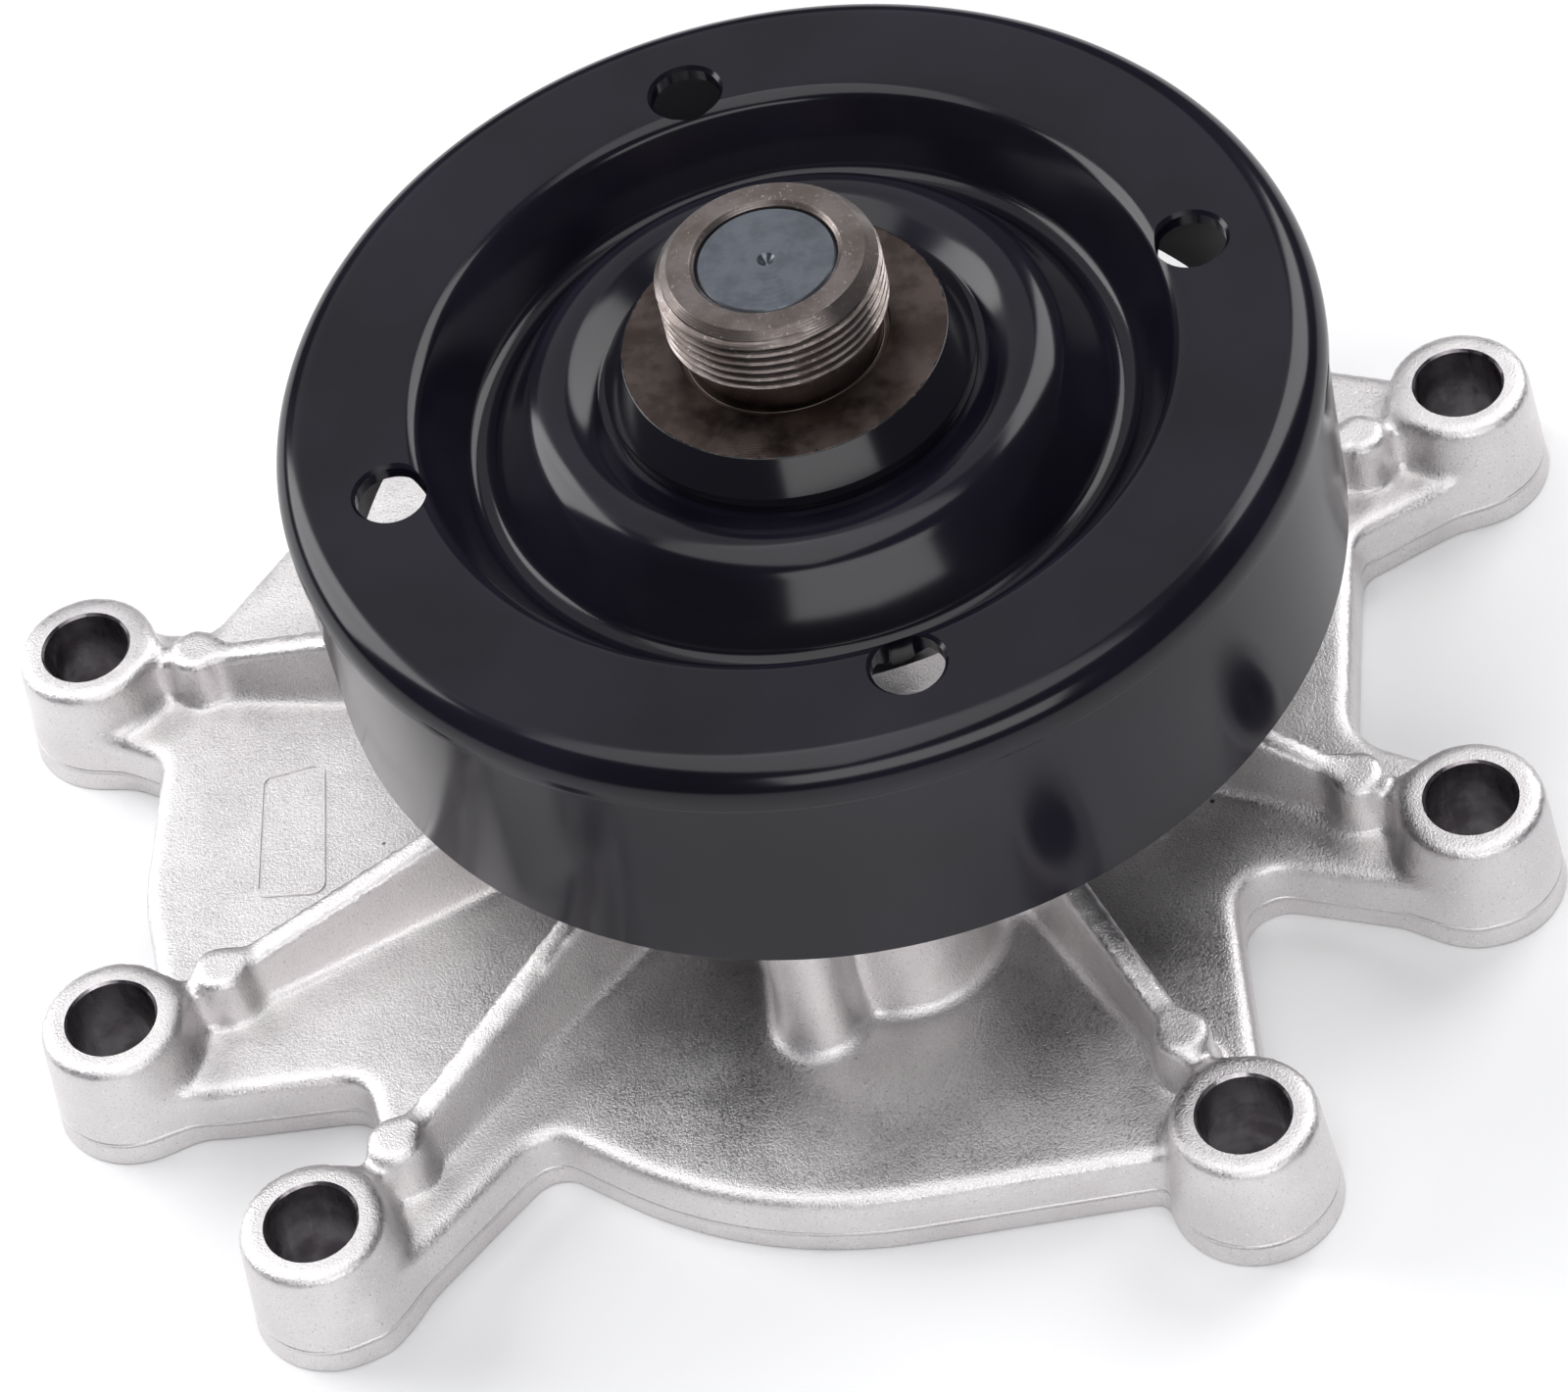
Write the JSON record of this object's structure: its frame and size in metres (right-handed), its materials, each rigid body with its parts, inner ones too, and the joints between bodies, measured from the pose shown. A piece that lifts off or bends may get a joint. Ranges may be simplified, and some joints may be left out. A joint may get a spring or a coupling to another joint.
{
  "type": "water pump",
  "caption": "Belt-driven engine coolant pump: cast flange with tall bolt bosses, sealed shaft bearing, recessed impeller, flat-belt pulley and threaded fan hub.",
  "frame": {"origin": "where the shaft axis crosses the mounting face, which is the plane z = 0", "axes": "+Z along the shaft from the mounting face to the fan hub's end; +X across the flange, towards the side with two bosses; +Y towards the side with the two bosses behind the pulley"},
  "size_m": [0.2218, 0.2115, 0.0988],
  "materials": {
    "cast_aluminium": "as die-cast, light warm grey, matt with a fine sandy grain",
    "pulley_paint": "gloss black stove enamel on pressed steel",
    "machined_steel": "turned steel, oiled, slightly stained",
    "shaft_steel": "hardened and ground, dark blue-grey",
    "bearing_steel": "ground and polished bearing steel",
    "cage_polymer": "moulded glass-filled nylon, dull green-grey",
    "lip_rubber": "nitrile rubber, matt black",
    "gasket_rubber": "moulded silicone ring, satin dark grey",
    "seal_brass": "drawn brass, bright",
    "seal_steel": "stainless strip and wire, bright",
    "carbon": "resin-bonded carbon, lapped dark grey",
    "ceramic": "alumina ceramic, ivory, lapped",
    "slinger_steel": "zinc-plated pressed steel",
    "impeller_cast": "moulded glass-filled polymer, dark grey, matt",
    "insert_steel": "turned steel insert"
  },
  "bodies": {
    "housing": {"housing": "cast_aluminium", "mounting_seal": "gasket_rubber", "bearing_outer_ring": "bearing_steel", "bearing_seal_front": "lip_rubber", "bearing_seal_rear": "lip_rubber", "seal_case": "seal_brass", "seal_bellows": "lip_rubber", "seal_spring": "seal_steel"},
    "rotor": {"pump_shaft": "shaft_steel", "slinger": "slinger_steel", "fan_hub": "machined_steel", "pulley": "pulley_paint", "impeller": "impeller_cast", "impeller_hub": "insert_steel", "seal_mating_ring": "ceramic", "seal_seat_boot": "lip_rubber"},
    "ball_row": {"bearing_balls": "bearing_steel", "ball_cage": "cage_polymer"},
    "roller_row": {"bearing_rollers": "bearing_steel", "roller_cage": "cage_polymer"},
    "seal_face": {"seal_carbon_ring": "carbon", "seal_drive_band": "seal_steel"}
  },
  "joints": [
    {"name": "shaft_spin", "type": "hinge", "parent": "housing", "child": "rotor", "pos_m": [0, 0, 0], "axis": [0, 0, 1], "continuous": true},
    {"name": "ball_row_spin", "type": "hinge", "parent": "housing", "child": "ball_row", "pos_m": [0, 0, 0], "axis": [0, 0, 1], "continuous": true},
    {"name": "roller_row_spin", "type": "hinge", "parent": "housing", "child": "roller_row", "pos_m": [0, 0, 0], "axis": [0, 0, 1], "continuous": true},
    {"name": "seal_face_slide", "type": "slide", "parent": "housing", "child": "seal_face", "axis": [0, 0, 1], "range_m": [0, 0.0008], "stiffness_N_per_m": 200, "springref_m": -0.001, "deforming": ["seal_bellows", "seal_spring"]}
  ],
  "couplings": [
    {"joint": "ball_row_spin", "follows": "shaft_spin", "ratio": 0.36782},
    {"joint": "roller_row_spin", "follows": "shaft_spin", "ratio": 0.39592}
  ]
}
